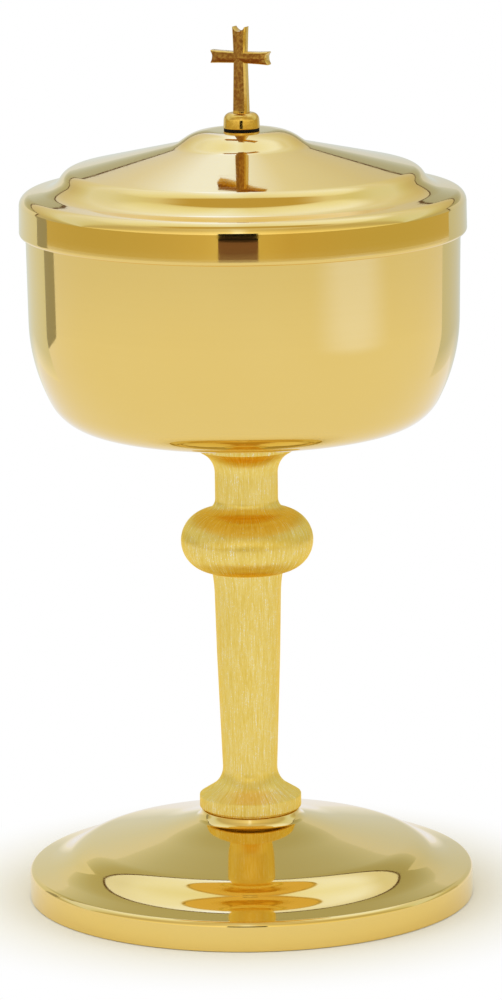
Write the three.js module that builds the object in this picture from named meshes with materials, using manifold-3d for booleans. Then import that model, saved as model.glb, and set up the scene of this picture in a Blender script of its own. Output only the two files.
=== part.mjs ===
// A covered ciborium: a deep spun cup with a domed lid and a cross finial, on a turned stem and a spun foot.
// Sizes are in millimetres, +Z is up, the foot stands on z = 0 and the stem's axis is the Z axis.

import * as THREE from "three";
import { mergeVertices } from "three/addons/utils/BufferGeometryUtils.js";
import Module from "manifold-3d";

const wasm = await Module();
wasm.setup();

// Fits: play between nested pieces, and the extra play of the lid's band round the cup
const CLEARANCE = 0.3;
const LID_CLEARANCE = 0.35;

// Smoothness: facets round the wide shells, the stem and the hardware, and how far an arc's facets may cut it
const SHELL_FACETS = 48;
const STEM_FACETS = 28;
const HARDWARE_FACETS = 20;
const ARC_SAGITTA = 0.08;

// Foot: a spun shell, from its rim up to the seat under the stem
const BASE_RADIUS = 60;
const BASE_HEIGHT = 23.2;
const BASE_SHEET = 1.5;
const BASE_BAND_HEIGHT = 7.6;
const BASE_RIM_ROUND = 1.5;
const BASE_HEM_WIDTH = 3;
const BASE_HEM_HEIGHT = 2;
const BASE_LEDGE_WIDTH = 8.49;
const BASE_LEDGE_RISE = 1.93;
const BASE_LEDGE_ROUND = 15.6;
const BASE_FLANGE_WIDTH = 5.73;
const BASE_FLANGE_RISE = 4.56;
const BASE_SHOULDER_ROUND = 14.7;
const BASE_DOME_BREAK_RADIUS = 24;
const BASE_DOME_BREAK_DROP = 4.85;
const BASE_DOME_ROUND = 100;
const COLLAR_RADIUS = 13.1;
const COLLAR_FLARE = 0.8;
const COLLAR_DROP = 2.15;
const COLLAR_COVE = 2.6;
const COLLAR_EDGE_ROUND = 0.6;

// Stem discs and flares: the same form at the foot of the shaft and at the top of the neck
const DISC_RADIUS = 13.7;
const DISC_EDGE_ROUND = 0.35;
const FLARE_SLOPE = THREE.MathUtils.degToRad(32);
const FLARE_ROUND = 6.5;

// Shaft: foot disc on a raised land, then a long slow taper that opens again under the knop
const SHAFT_LENGTH = 65.75;
const SHAFT_LAND_RADIUS = 12.3;
const SHAFT_LAND_HEIGHT = 0.5;
const SHAFT_DISC_HEIGHT = 3.4;
const SHAFT_FOOT_RADIUS = 7.2;
const SHAFT_BELLY_RADIUS = 8.5;
const SHAFT_BELLY_DROP = 23;
const SHAFT_LIP_RADIUS = 9.55;
const SHAFT_LIP_FLARE = 0.6;
const SHAFT_LIP_HEIGHT = 3.75;
const SHAFT_LIP_ROUND = 40;
const SHAFT_BELLY_ROUND = 500;

// Node: the round knop, the neck over it and the disc that carries the cup
const NODE_LENGTH = 36.35;
const KNOP_RADIUS = 17.73;
const KNOP_BEAD = 8.15;
const NECK_RADIUS = 8.42;
const NECK_COVE = 3.5;
const NECK_DISC_HEIGHT = 3;
const SPIGOT_RADIUS = 5;
const SPIGOT_LENGTH = 3;

// Cup: outside sizes, with the corner set back from the rim and raised from the seat
const BOWL_RIM_RADIUS = 57.7;
const BOWL_DEPTH = 63.6;
const BOWL_SHEET = 1.2;
const BOWL_SEAT_MARGIN = 0.2;
const BOWL_SIDE_SETBACK = 0.62;
const BOWL_SIDE_RISE = 21.4;
const BOWL_SIDE_ROUND = 48;
const BOWL_CORNER_SETBACK = 8.68;
const BOWL_CORNER_RISE = 5;
const BOWL_CORNER_ROUND = 13.5;
const BOWL_FLOOR_SETBACK = 18.5;
const BOWL_FLOOR_RISE = 2.95;
const BOWL_FLOOR_ROUND = 60;
const BOWL_LIP_ROUND = 0.35;

// Lid: heights above the cup's lip, radii set back from the rim band
const LID_SHEET = 1.25;
const LID_BAND_DROP = 8.55;
const LID_BAND_TAPER = 0.15;
const LID_BAND_ROUND = 1.1;
const LID_LAND_WIDTH = 3.2;
const LID_RING_RISE = 2.1;
const LID_RING_ROUND = 3.1;
const LID_COVE_SETBACK = 9;
const LID_COVE_RISE = 3.55;
const LID_COVE_ROUND = 7.2;
const LID_SHOULDER_SETBACK = 12.35;
const LID_SHOULDER_RISE = 8.3;
const LID_SHOULDER_ROUND = 4.5;
const LID_CONE_TOP_RADIUS = 17.75;
const LID_CONE_TOP_RISE = 14.8;
const LID_CONE_TOP_ROUND = 7.5;
const LID_CROWN_RADIUS = 12.1;
const LID_RISE = 18.75;
const LID_CROWN_ROUND = 12;

// Finial: a round boss and a cross with ridged faces and hollowed ends, turned on the lid
const FINIAL_TURN = THREE.MathUtils.degToRad(-25);
const BOSS_RADIUS = 4.85;
const BOSS_TOP_RADIUS = 4.6;
const BOSS_HEIGHT = 4.1;
const BOSS_ROUND = 1.9;
const BOSS_FOOT_ROUND = 0.25;
const CROSS_HEIGHT = 22.7;
const CROSS_SINK = 0.6;
const CROSS_SPAN = 16.4;
const CROSS_ARM_HEIGHT = 14.6;
const CROSS_SIDE_DEPTH = 2.8;
const CROSS_RIDGE = 0.65;
const CROSS_WAIST_WIDTH = 3.2;
const CROSS_FOOT_WIDTH = 4;
const CROSS_TOP_WIDTH = 3.9;
const CROSS_ARM_WIDTH = 2.9;
const CROSS_ARM_END_WIDTH = 3.5;
const CROSS_HIP_LENGTH = 2.2;
const CROSS_TIP = 0.25;
const CROSS_ARM_NOTCH = 0.6;
const CROSS_TOP_NOTCH = 1.2;

// Finial fixing: washer under the boss, stud through the lid, washer and nut inside
const FINIAL_WASHER_RADIUS = 4.7;
const FINIAL_WASHER_HEIGHT = 0.45;
const STUD_RADIUS = 2;
const STUD_DEPTH_IN_BOSS = 3.1;
const STUD_TAIL = 1.2;
const LID_WASHER_RADIUS = 5.5;
const LID_WASHER_HEIGHT = 1;
const LID_NUT_FLATS = 7;
const LID_NUT_HEIGHT = 3.2;

// Stem fixing: boss under the cup, rod down the stem, washers and nut inside the foot
const ROD_RADIUS = 3;
const ROD_TAIL = 2.2;
const BOWL_BOSS_RADIUS = 6;
const BOWL_BOSS_HEIGHT = 10;
const BOWL_BOSS_TAP_DEPTH = 8;
const BASE_WASHER_RADIUS = 10.2;
const BASE_WASHER_HEIGHT = 1.6;
const LOCK_WASHER_RADIUS = 5.6;
const LOCK_WASHER_HEIGHT = 1.4;
const LOCK_WASHER_SPLIT = THREE.MathUtils.degToRad(14);
const BASE_NUT_FLATS = 10;
const BASE_NUT_HEIGHT = 5;
const END_CHAMFER = 0.4;
const NUT_CHAMFER_SLOPE = 0.5;
const CUT_OVERRUN = 1;
const WELD = 0.0005;

// Levels that follow from the sizes above, from the foot upwards
const rodHole = ROD_RADIUS + CLEARANCE;
const studHole = STUD_RADIUS + CLEARANCE;
const shaftTop = BASE_HEIGHT + SHAFT_LENGTH;
const bowlSeat = shaftTop + NODE_LENGTH;
const lipLevel = bowlSeat + BOWL_DEPTH;
const crownLevel = lipLevel + LID_RISE;
const bossLevel = crownLevel + FINIAL_WASHER_HEIGHT;
const crossLevel = bossLevel + BOSS_HEIGHT;
const lidBandInside = BOWL_RIM_RADIUS + LID_CLEARANCE;
const lidBandRadius = lidBandInside + LID_SHEET;

// A corner of an outline in the (radius, height) plane, with the radius it is rounded to
function corner(radius, height, round = 0) {
  return { at: new THREE.Vector2(radius, height), round };
}

function leftOf(direction) {
  return new THREE.Vector2(-direction.y, direction.x);
}

function between(start, end) {
  return end.at.clone().sub(start.at).normalize();
}

// Number of facets that keeps an arc's chords within the allowed distance of it
function arcSteps(radius, turn) {
  const facet = 2 * Math.acos(1 - ARC_SAGITTA / radius);
  return Math.ceil(Math.abs(turn) / facet);
}

// The points of one corner: the corner itself, or an arc tangent to both its sides
function cornerPoints(before, here, after) {
  const into = between(before, here);
  const out = between(here, after);
  const turn = Math.atan2(into.cross(out), into.dot(out));
  if (here.round === 0) {
    const mitre = leftOf(into).add(leftOf(out));
    return [{ at: here.at, normal: mitre.divideScalar(1 + into.dot(out)) }];
  }
  const side = Math.sign(turn);
  const setback = here.round * Math.tan(Math.abs(turn) / 2);
  const start = here.at.clone().addScaledVector(into, -setback);
  const centre = start.addScaledVector(leftOf(into), here.round * side);
  const steps = arcSteps(here.round, turn);
  return Array.from({ length: steps + 1 }, (_, k) => {
    const heading = into.clone().rotateAround(new THREE.Vector2(), (turn * k) / steps);
    const normal = leftOf(heading);
    return { at: centre.clone().addScaledVector(normal, -here.round * side), normal };
  });
}

// An outline with its corners rounded. Each point carries the normal on the left of the way along it.
function roundedOutline(corners) {
  const last = corners.length - 1;
  return corners.flatMap((here, i) => {
    if (i === 0) {
      return [{ at: here.at, normal: leftOf(between(here, corners[1])) }];
    }
    if (i === last) {
      return [{ at: here.at, normal: leftOf(between(corners[last - 1], here)) }];
    }
    return cornerPoints(corners[i - 1], here, corners[i + 1]);
  });
}

// The outline moved sideways by a sheet's thickness
function offsetPoints(outline, distance) {
  return outline.map((point) => point.at.clone().addScaledVector(point.normal, distance));
}

function plainPoints(outline) {
  return outline.map((point) => point.at.clone());
}

// Height of a line of points at one radius
function heightAt(points, radius) {
  const i = points.findIndex((point, k) => {
    return k > 0 && (points[k - 1].x - radius) * (point.x - radius) <= 0;
  });
  const share = (radius - points[i - 1].x) / (points[i].x - points[i - 1].x);
  return THREE.MathUtils.lerp(points[i - 1].y, points[i].y, share);
}

// Solid of revolution. The profile starts and ends on the axis, or is a ring that closes on itself.
function turned(profile, facets) {
  const inOrder = THREE.ShapeUtils.area(profile) > 0 ? profile : [...profile].reverse();
  const closing = inOrder[0].x > 0 ? [inOrder[0].clone()] : [];
  return new THREE.LatheGeometry([...inOrder, ...closing], facets).rotateX(Math.PI / 2);
}

function turnedCorners(corners, facets) {
  return turned(plainPoints(roundedOutline([...corners, corners[0]])).slice(0, -1), facets);
}

// Flat ring standing on one level
function flatRing(insideRadius, outsideRadius, level, height, facets) {
  const top = level + height;
  return turnedCorners(
    [
      corner(insideRadius, level),
      corner(outsideRadius, level),
      corner(outsideRadius, top),
      corner(insideRadius, top),
    ],
    facets,
  );
}

// Round rod with both ends chamfered
function chamferedRod(radius, bottom, top, facets) {
  return turned(
    plainPoints(
      roundedOutline([
        corner(0, bottom),
        corner(radius - END_CHAMFER, bottom),
        corner(radius, bottom + END_CHAMFER),
        corner(radius, top - END_CHAMFER),
        corner(radius - END_CHAMFER, top),
        corner(0, top),
      ]),
    ),
    facets,
  );
}

// Closed solid from a surface, for joining and cutting
function toSolid(geometry) {
  geometry.deleteAttribute("normal");
  geometry.deleteAttribute("uv");
  const welded = mergeVertices(geometry, WELD);
  const index = Array.from(welded.index.array);
  const faces = [];
  for (let k = 0; k < index.length; k += 3) {
    const [a, b, c] = index.slice(k, k + 3);
    if (a !== b && b !== c && c !== a) {
      faces.push(a, b, c);
    }
  }
  return new wasm.Manifold(
    new wasm.Mesh({
      numProp: 3,
      vertProperties: welded.attributes.position.array,
      triVerts: new Uint32Array(faces),
    }),
  );
}

function toGeometry(solid) {
  const mesh = solid.getMesh();
  const geometry = new THREE.BufferGeometry();
  geometry.setAttribute("position", new THREE.BufferAttribute(mesh.vertProperties, 3));
  geometry.setIndex(new THREE.BufferAttribute(mesh.triVerts, 1));
  geometry.computeVertexNormals();
  return geometry;
}

// Hexagon nut with its corners chamfered at both faces
function hexagonNut(acrossFlats, bore, level, height) {
  const cornerRadius = acrossFlats / Math.sqrt(3);
  const faceRadius = acrossFlats / 2;
  const drop = (cornerRadius - faceRadius) * NUT_CHAMFER_SLOPE;
  const top = level + height;
  const body = new THREE.CylinderGeometry(cornerRadius, cornerRadius, height, 6)
    .rotateX(Math.PI / 2)
    .translate(0, 0, level + height / 2);
  const envelope = turnedCorners(
    [
      corner(bore, level),
      corner(faceRadius, level),
      corner(cornerRadius, level + drop),
      corner(cornerRadius, top - drop),
      corner(faceRadius, top),
      corner(bore, top),
    ],
    HARDWARE_FACETS,
  );
  return toGeometry(toSolid(body).intersect(toSolid(envelope)));
}

// Foot outline on its upper side, from the rod's hole outwards and down to the ground
function baseOutline() {
  const ledgeRadius = BASE_RADIUS - BASE_LEDGE_WIDTH;
  const ledgeLevel = BASE_BAND_HEIGHT + BASE_LEDGE_RISE;
  const shoulderRadius = ledgeRadius - BASE_FLANGE_WIDTH;
  const shoulderLevel = ledgeLevel + BASE_FLANGE_RISE;
  const coveRadius = COLLAR_RADIUS + COLLAR_FLARE;
  return roundedOutline([
    corner(rodHole, BASE_HEIGHT),
    corner(COLLAR_RADIUS, BASE_HEIGHT, COLLAR_EDGE_ROUND),
    corner(coveRadius, BASE_HEIGHT - COLLAR_DROP, COLLAR_COVE),
    corner(BASE_DOME_BREAK_RADIUS, BASE_HEIGHT - BASE_DOME_BREAK_DROP, BASE_DOME_ROUND),
    corner(shoulderRadius, shoulderLevel, BASE_SHOULDER_ROUND),
    corner(ledgeRadius, ledgeLevel, BASE_LEDGE_ROUND),
    corner(BASE_RADIUS, BASE_BAND_HEIGHT, BASE_RIM_ROUND),
    corner(BASE_RADIUS, 0),
  ]);
}

// Spun foot, open underneath, with a turned-in hem that it stands on
function baseShell() {
  const outline = baseOutline();
  const inside = offsetPoints(outline, -BASE_SHEET);
  const hemRadius = BASE_RADIUS - BASE_HEM_WIDTH;
  const wallRadius = BASE_RADIUS - BASE_SHEET;
  const aboveHem = inside.slice(0, -1);
  return turned(
    [
      ...plainPoints(outline),
      new THREE.Vector2(hemRadius, 0),
      new THREE.Vector2(hemRadius, BASE_HEM_HEIGHT),
      new THREE.Vector2(wallRadius, BASE_HEM_HEIGHT),
      ...aboveHem.reverse(),
    ],
    SHELL_FACETS,
  );
}

// Long shaft with its foot disc, bored for the rod and counterbored for the knop's spigot
function stemShaft() {
  const discBottom = BASE_HEIGHT + SHAFT_LAND_HEIGHT;
  const discTop = discBottom + SHAFT_DISC_HEIGHT;
  const flareTop = discTop + (DISC_RADIUS - SHAFT_FOOT_RADIUS) * Math.tan(FLARE_SLOPE);
  const counterbore = SPIGOT_RADIUS + CLEARANCE;
  const counterboreFloor = shaftTop - SPIGOT_LENGTH - CLEARANCE;
  const lipBottom = shaftTop - SHAFT_LIP_HEIGHT;
  return turnedCorners(
    [
      corner(rodHole, BASE_HEIGHT),
      corner(SHAFT_LAND_RADIUS, BASE_HEIGHT),
      corner(SHAFT_LAND_RADIUS, discBottom),
      corner(DISC_RADIUS, discBottom, DISC_EDGE_ROUND),
      corner(DISC_RADIUS, discTop, DISC_EDGE_ROUND),
      corner(SHAFT_FOOT_RADIUS, flareTop, FLARE_ROUND),
      corner(SHAFT_BELLY_RADIUS, shaftTop - SHAFT_BELLY_DROP, SHAFT_BELLY_ROUND),
      corner(SHAFT_LIP_RADIUS - SHAFT_LIP_FLARE, lipBottom, SHAFT_LIP_ROUND),
      corner(SHAFT_LIP_RADIUS, shaftTop),
      corner(counterbore, shaftTop),
      corner(counterbore, counterboreFloor),
      corner(rodHole, counterboreFloor),
    ],
    STEM_FACETS,
  );
}

function arcPoints(centre, radius, from, to) {
  const steps = arcSteps(radius, to - from);
  return Array.from({ length: steps + 1 }, (_, k) => {
    const angle = THREE.MathUtils.lerp(from, to, k / steps);
    return new THREE.Vector2(radius * Math.cos(angle), radius * Math.sin(angle)).add(centre);
  });
}

// Knop bead, and the cove that leads from it into the neck, tangent to both
function knopAndCove() {
  const bead = new THREE.Vector2(KNOP_RADIUS - KNOP_BEAD, shaftTop + KNOP_BEAD);
  const across = NECK_RADIUS + NECK_COVE - bead.x;
  const reach = KNOP_BEAD + NECK_COVE;
  const up = Math.sqrt(reach ** 2 - across ** 2);
  const cove = new THREE.Vector2(bead.x + across, bead.y + up);
  const meeting = Math.atan2(up, across);
  return [
    ...arcPoints(bead, KNOP_BEAD, -Math.PI / 2, meeting),
    ...arcPoints(cove, NECK_COVE, meeting - Math.PI, -Math.PI).slice(1),
  ];
}

// Neck and knop in one turning, with a spigot below and a counterbore above for the cup's boss
function stemNode() {
  const discBottom = bowlSeat - NECK_DISC_HEIGHT;
  const flareBottom = discBottom - (DISC_RADIUS - NECK_RADIUS) * Math.tan(FLARE_SLOPE);
  const counterbore = BOWL_BOSS_RADIUS + CLEARANCE;
  const counterboreFloor = bowlSeat - BOWL_BOSS_HEIGHT - CLEARANCE;
  const knop = knopAndCove();
  const neckStart = knop[knop.length - 1];
  const upper = roundedOutline([
    corner(neckStart.x, neckStart.y),
    corner(NECK_RADIUS, flareBottom, FLARE_ROUND),
    corner(DISC_RADIUS, discBottom, DISC_EDGE_ROUND),
    corner(DISC_RADIUS, bowlSeat),
    corner(counterbore, bowlSeat),
    corner(counterbore, counterboreFloor),
    corner(rodHole, counterboreFloor),
    corner(rodHole, shaftTop - SPIGOT_LENGTH),
    corner(SPIGOT_RADIUS, shaftTop - SPIGOT_LENGTH),
    corner(SPIGOT_RADIUS, shaftTop),
  ]);
  return turned([...knop, ...plainPoints(upper).slice(1)], STEM_FACETS);
}

// Cup outline on its outside, from the axis to the lip
function bowlOutline() {
  const seatRadius = DISC_RADIUS + BOWL_SEAT_MARGIN;
  const floorRadius = BOWL_RIM_RADIUS - BOWL_FLOOR_SETBACK;
  const cornerRadius = BOWL_RIM_RADIUS - BOWL_CORNER_SETBACK;
  const sideRadius = BOWL_RIM_RADIUS - BOWL_SIDE_SETBACK;
  return roundedOutline([
    corner(0, bowlSeat),
    corner(seatRadius, bowlSeat),
    corner(floorRadius, bowlSeat + BOWL_FLOOR_RISE, BOWL_FLOOR_ROUND),
    corner(cornerRadius, bowlSeat + BOWL_CORNER_RISE, BOWL_CORNER_ROUND),
    corner(sideRadius, bowlSeat + BOWL_SIDE_RISE, BOWL_SIDE_ROUND),
    corner(BOWL_RIM_RADIUS, lipLevel),
  ]);
}

// Spun cup. Its lip is flat on top, where the lid bears, with both edges rounded.
function bowl() {
  const outline = bowlOutline();
  const outside = plainPoints(outline).slice(0, -1);
  const inside = offsetPoints(outline, BOWL_SHEET).slice(0, -1);
  const lipInside = BOWL_RIM_RADIUS - BOWL_SHEET;
  const lip = roundedOutline([
    corner(outside[outside.length - 1].x, outside[outside.length - 1].y),
    corner(BOWL_RIM_RADIUS, lipLevel, BOWL_LIP_ROUND),
    corner(lipInside, lipLevel, BOWL_LIP_ROUND),
    corner(inside[inside.length - 1].x, inside[inside.length - 1].y),
  ]);
  return turned([...outside, ...plainPoints(lip).slice(1, -1), ...inside.reverse()], SHELL_FACETS);
}

// Boss brazed under the cup, tapped from below for the rod
function bowlBoss() {
  const bottom = bowlSeat - BOWL_BOSS_HEIGHT;
  const tapEnd = bottom + BOWL_BOSS_TAP_DEPTH;
  return turned(
    plainPoints(
      roundedOutline([
        corner(0, tapEnd),
        corner(rodHole, tapEnd),
        corner(rodHole, bottom),
        corner(BOWL_BOSS_RADIUS - END_CHAMFER, bottom),
        corner(BOWL_BOSS_RADIUS, bottom + END_CHAMFER),
        corner(BOWL_BOSS_RADIUS, bowlSeat),
        corner(0, bowlSeat),
      ]),
    ),
    STEM_FACETS,
  );
}

// Lid outline on its upper side, from the stud's hole out to the foot of the rim band
function lidOutline() {
  const bandTopRadius = lidBandRadius - LID_BAND_TAPER;
  return roundedOutline([
    corner(studHole, crownLevel),
    corner(LID_CROWN_RADIUS, crownLevel, LID_CROWN_ROUND),
    corner(LID_CONE_TOP_RADIUS, lipLevel + LID_CONE_TOP_RISE, LID_CONE_TOP_ROUND),
    corner(lidBandRadius - LID_SHOULDER_SETBACK, lipLevel + LID_SHOULDER_RISE, LID_SHOULDER_ROUND),
    corner(lidBandRadius - LID_COVE_SETBACK, lipLevel + LID_COVE_RISE, LID_COVE_ROUND),
    corner(bandTopRadius, lipLevel + LID_RING_RISE, LID_RING_ROUND),
    corner(lidBandRadius, lipLevel - LID_BAND_DROP, LID_BAND_ROUND),
    corner(lidBandInside, lipLevel - LID_BAND_DROP),
  ]);
}

// Spun lid. Its underside is turned flat where it bears on the cup's lip.
function lidShell() {
  const outline = lidOutline();
  const landInside = lidBandInside - LID_LAND_WIDTH;
  const below = offsetPoints(outline, -LID_SHEET);
  const underCone = below.slice(0, below.findIndex((point) => point.x > landInside));
  return turned(
    [
      ...plainPoints(outline),
      new THREE.Vector2(lidBandInside, lipLevel),
      new THREE.Vector2(landInside, lipLevel),
      new THREE.Vector2(landInside, heightAt(below, landInside)),
      ...underCone.reverse(),
    ],
    SHELL_FACETS,
  );
}

// Six-sided section of the cross: two flat sides and a ridge along the front and the back
function ridgedSection(width, ridge, place) {
  const side = width / 2;
  const face = CROSS_SIDE_DEPTH / 2;
  return [
    place(-side, -face),
    place(0, -face - ridge),
    place(side, -face),
    place(side, face),
    place(0, face + ridge),
    place(-side, face),
  ];
}

// Solid between a row of sections, closed at both ends
function lofted(sections) {
  const count = sections[0].length;
  const last = (sections.length - 1) * count;
  const index = [];
  for (let row = 0; row < last; row += count) {
    for (let k = 0; k < count; k += 1) {
      const next = (k + 1) % count;
      index.push(row + k, row + next, row + count + next);
      index.push(row + k, row + count + next, row + count + k);
    }
  }
  for (let k = 1; k < count - 1; k += 1) {
    index.push(0, k + 1, k);
    index.push(last, last + k, last + k + 1);
  }
  const geometry = new THREE.BufferGeometry().setFromPoints(sections.flat());
  geometry.setIndex(index);
  return geometry;
}

// Round cutter that hollows one end of the cross, with its axis through the cross's depth
function notchCutter(endWidth, depth) {
  const halfChord = endWidth / 2 - CROSS_TIP;
  const radius = (halfChord ** 2 + depth ** 2) / (2 * depth);
  const length = CROSS_SIDE_DEPTH + 2 * CROSS_RIDGE + 2 * CUT_OVERRUN;
  return {
    geometry: new THREE.CylinderGeometry(radius, radius, length, HARDWARE_FACETS * 2),
    offset: radius - depth,
  };
}

// Upright of the cross, narrowest at the arms
function crossUpright(armLevel, topLevel) {
  const at = (width, ridge, level) => {
    return ridgedSection(width, ridge, (x, y) => new THREE.Vector3(x, y, level));
  };
  return lofted([
    at(CROSS_FOOT_WIDTH, CROSS_RIDGE, crossLevel - CROSS_SINK),
    at(CROSS_WAIST_WIDTH, CROSS_RIDGE, armLevel),
    at(CROSS_TOP_WIDTH - CROSS_TIP, CROSS_RIDGE, topLevel - CROSS_HIP_LENGTH),
    at(CROSS_TOP_WIDTH, 0, topLevel),
  ]);
}

// Arms of the cross, widening to both ends
function crossArms(armLevel) {
  const end = CROSS_SPAN / 2;
  const hip = end - CROSS_HIP_LENGTH;
  const at = (width, ridge, x) => {
    return ridgedSection(width, ridge, (z, y) => new THREE.Vector3(x, -y, armLevel + z));
  };
  return lofted([
    at(CROSS_ARM_END_WIDTH, 0, -end),
    at(CROSS_ARM_END_WIDTH - CROSS_TIP, CROSS_RIDGE, -hip),
    at(CROSS_ARM_WIDTH, CROSS_RIDGE, 0),
    at(CROSS_ARM_END_WIDTH - CROSS_TIP, CROSS_RIDGE, hip),
    at(CROSS_ARM_END_WIDTH, 0, end),
  ]);
}

// Boss of the finial, with a blind hole for the stud
function finialBoss() {
  const holeEnd = bossLevel + STUD_DEPTH_IN_BOSS;
  return turned(
    plainPoints(
      roundedOutline([
        corner(0, holeEnd),
        corner(studHole, holeEnd),
        corner(studHole, bossLevel),
        corner(BOSS_RADIUS, bossLevel, BOSS_FOOT_ROUND),
        corner(BOSS_TOP_RADIUS, crossLevel, BOSS_ROUND),
        corner(0, crossLevel),
      ]),
    ),
    STEM_FACETS,
  );
}

// Cross and boss, one casting
function crossFinial() {
  const armLevel = crossLevel + CROSS_ARM_HEIGHT;
  const topLevel = crossLevel + CROSS_HEIGHT;
  const armNotch = notchCutter(CROSS_ARM_END_WIDTH, CROSS_ARM_NOTCH);
  const topNotch = notchCutter(CROSS_TOP_WIDTH, CROSS_TOP_NOTCH);
  const reach = CROSS_SPAN / 2 + armNotch.offset;
  const left = armNotch.geometry.clone().translate(-reach, 0, armLevel);
  const right = armNotch.geometry.clone().translate(reach, 0, armLevel);
  const top = topNotch.geometry.clone().translate(0, 0, topLevel + topNotch.offset);
  const cross = toSolid(crossUpright(armLevel, topLevel))
    .add(toSolid(crossArms(armLevel)))
    .subtract(toSolid(left))
    .subtract(toSolid(right))
    .subtract(toSolid(top));
  const casting = cross.add(toSolid(finialBoss()));
  return toGeometry(casting).rotateZ(FINIAL_TURN);
}

// Spring washer, cut through at one side
function lockWasher(level) {
  const start = LOCK_WASHER_SPLIT / 2;
  const end = 2 * Math.PI - start;
  const shape = new THREE.Shape();
  shape.absarc(0, 0, LOCK_WASHER_RADIUS, start, end, false);
  shape.absarc(0, 0, rodHole, end, start, true);
  return new THREE.ExtrudeGeometry(shape, {
    depth: LOCK_WASHER_HEIGHT,
    bevelEnabled: false,
    curveSegments: HARDWARE_FACETS,
  }).translate(0, 0, level);
}

// Finishes
const polishedGold = () => new THREE.MeshStandardMaterial({ color: 0xefcf7c, roughness: 0.08, metalness: 1 });
const satinGold = () => new THREE.MeshStandardMaterial({ color: 0xe4c569, roughness: 0.42, metalness: 1 });
const castGold = () => new THREE.MeshStandardMaterial({ color: 0xb38945, roughness: 0.5, metalness: 1 });
const plainBrass = () => new THREE.MeshStandardMaterial({ color: 0xc9a85a, roughness: 0.35, metalness: 1 });
const platedSteel = () => new THREE.MeshStandardMaterial({ color: 0xc2c4c6, roughness: 0.35, metalness: 1 });
const darkFibre = () => new THREE.MeshStandardMaterial({ color: 0x1c1a18, roughness: 0.8, metalness: 0 });

const ciborium = new THREE.Group();

function addPiece(name, geometry, material) {
  const piece = new THREE.Mesh(geometry, material);
  piece.name = name;
  ciborium.add(piece);
}

const lidUnderside = crownLevel - LID_SHEET;
const lidNutTop = lidUnderside - LID_WASHER_HEIGHT;
const lidNutBottom = lidNutTop - LID_NUT_HEIGHT;
const studTop = bossLevel + STUD_DEPTH_IN_BOSS;
const rodTop = bowlSeat - BOWL_BOSS_HEIGHT + BOWL_BOSS_TAP_DEPTH;
const baseWasherLevel = BASE_HEIGHT - BASE_SHEET - BASE_WASHER_HEIGHT;
const lockWasherLevel = baseWasherLevel - LOCK_WASHER_HEIGHT;
const baseNutLevel = lockWasherLevel - BASE_NUT_HEIGHT;

addPiece("cross_finial", crossFinial(), castGold());
addPiece("finial_stud", chamferedRod(STUD_RADIUS, lidNutBottom - STUD_TAIL, studTop, HARDWARE_FACETS), plainBrass());
addPiece(
  "finial_washer",
  flatRing(studHole, FINIAL_WASHER_RADIUS, crownLevel, FINIAL_WASHER_HEIGHT, HARDWARE_FACETS),
  darkFibre(),
);
addPiece("lid_shell", lidShell(), polishedGold());
addPiece(
  "lid_backing_washer",
  flatRing(studHole, LID_WASHER_RADIUS, lidNutTop, LID_WASHER_HEIGHT, HARDWARE_FACETS),
  plainBrass(),
);
addPiece("lid_nut", hexagonNut(LID_NUT_FLATS, studHole, lidNutBottom, LID_NUT_HEIGHT), plainBrass());
addPiece("bowl", bowl(), polishedGold());
addPiece("bowl_boss", bowlBoss(), plainBrass());
addPiece("stem_node", stemNode(), satinGold());
addPiece("stem_shaft", stemShaft(), satinGold());
addPiece("tie_rod", chamferedRod(ROD_RADIUS, baseNutLevel - ROD_TAIL, rodTop, HARDWARE_FACETS), platedSteel());
addPiece("base_shell", baseShell(), polishedGold());
addPiece(
  "base_washer",
  flatRing(rodHole, BASE_WASHER_RADIUS, baseWasherLevel, BASE_WASHER_HEIGHT, HARDWARE_FACETS),
  platedSteel(),
);
addPiece("lock_washer", lockWasher(lockWasherLevel), platedSteel());
addPiece("base_nut", hexagonNut(BASE_NUT_FLATS, rodHole, baseNutLevel, BASE_NUT_HEIGHT), platedSteel());

export default ciborium;
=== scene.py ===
"""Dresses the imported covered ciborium: finer pieces, gold finishes, a plain studio and the camera.

The part's sizes are written in millimetres and turned into metres where a mesh is made. The
studio's are in metres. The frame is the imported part's own: +Z up along the stem, the viewer on the
-Y side, the foot standing on z = 0.
"""

import logging
import math
from collections.abc import Callable, Sequence
from dataclasses import dataclass, field
from enum import Enum
from typing import ClassVar

import bmesh
import bpy
from mathutils import Matrix, Vector


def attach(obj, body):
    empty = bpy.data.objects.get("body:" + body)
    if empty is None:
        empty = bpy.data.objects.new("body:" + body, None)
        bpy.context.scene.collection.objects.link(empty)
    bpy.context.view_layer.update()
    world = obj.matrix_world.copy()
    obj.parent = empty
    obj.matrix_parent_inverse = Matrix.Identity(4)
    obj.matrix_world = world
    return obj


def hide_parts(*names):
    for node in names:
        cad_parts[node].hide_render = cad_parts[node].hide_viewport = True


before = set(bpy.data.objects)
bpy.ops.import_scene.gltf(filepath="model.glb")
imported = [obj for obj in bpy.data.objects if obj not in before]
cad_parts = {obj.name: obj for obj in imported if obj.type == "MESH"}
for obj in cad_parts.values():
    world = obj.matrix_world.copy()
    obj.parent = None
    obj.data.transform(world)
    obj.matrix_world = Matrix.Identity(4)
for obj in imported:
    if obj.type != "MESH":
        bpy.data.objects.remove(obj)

MM = 0.001
LOG = logging.getLogger("ciborium")

Object = bpy.types.Object
Material = bpy.types.Material
Node = bpy.types.Node
Socket = bpy.types.NodeSocket
Color = tuple[float, float, float]
Place = tuple[float, float, float]
Span = tuple[float, float]
Stops = tuple[tuple[float, Color], ...]
Input = float | Sequence[float] | Socket
Outline = list["Corner"]

WHITE: Color = (1.0, 1.0, 1.0)

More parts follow.
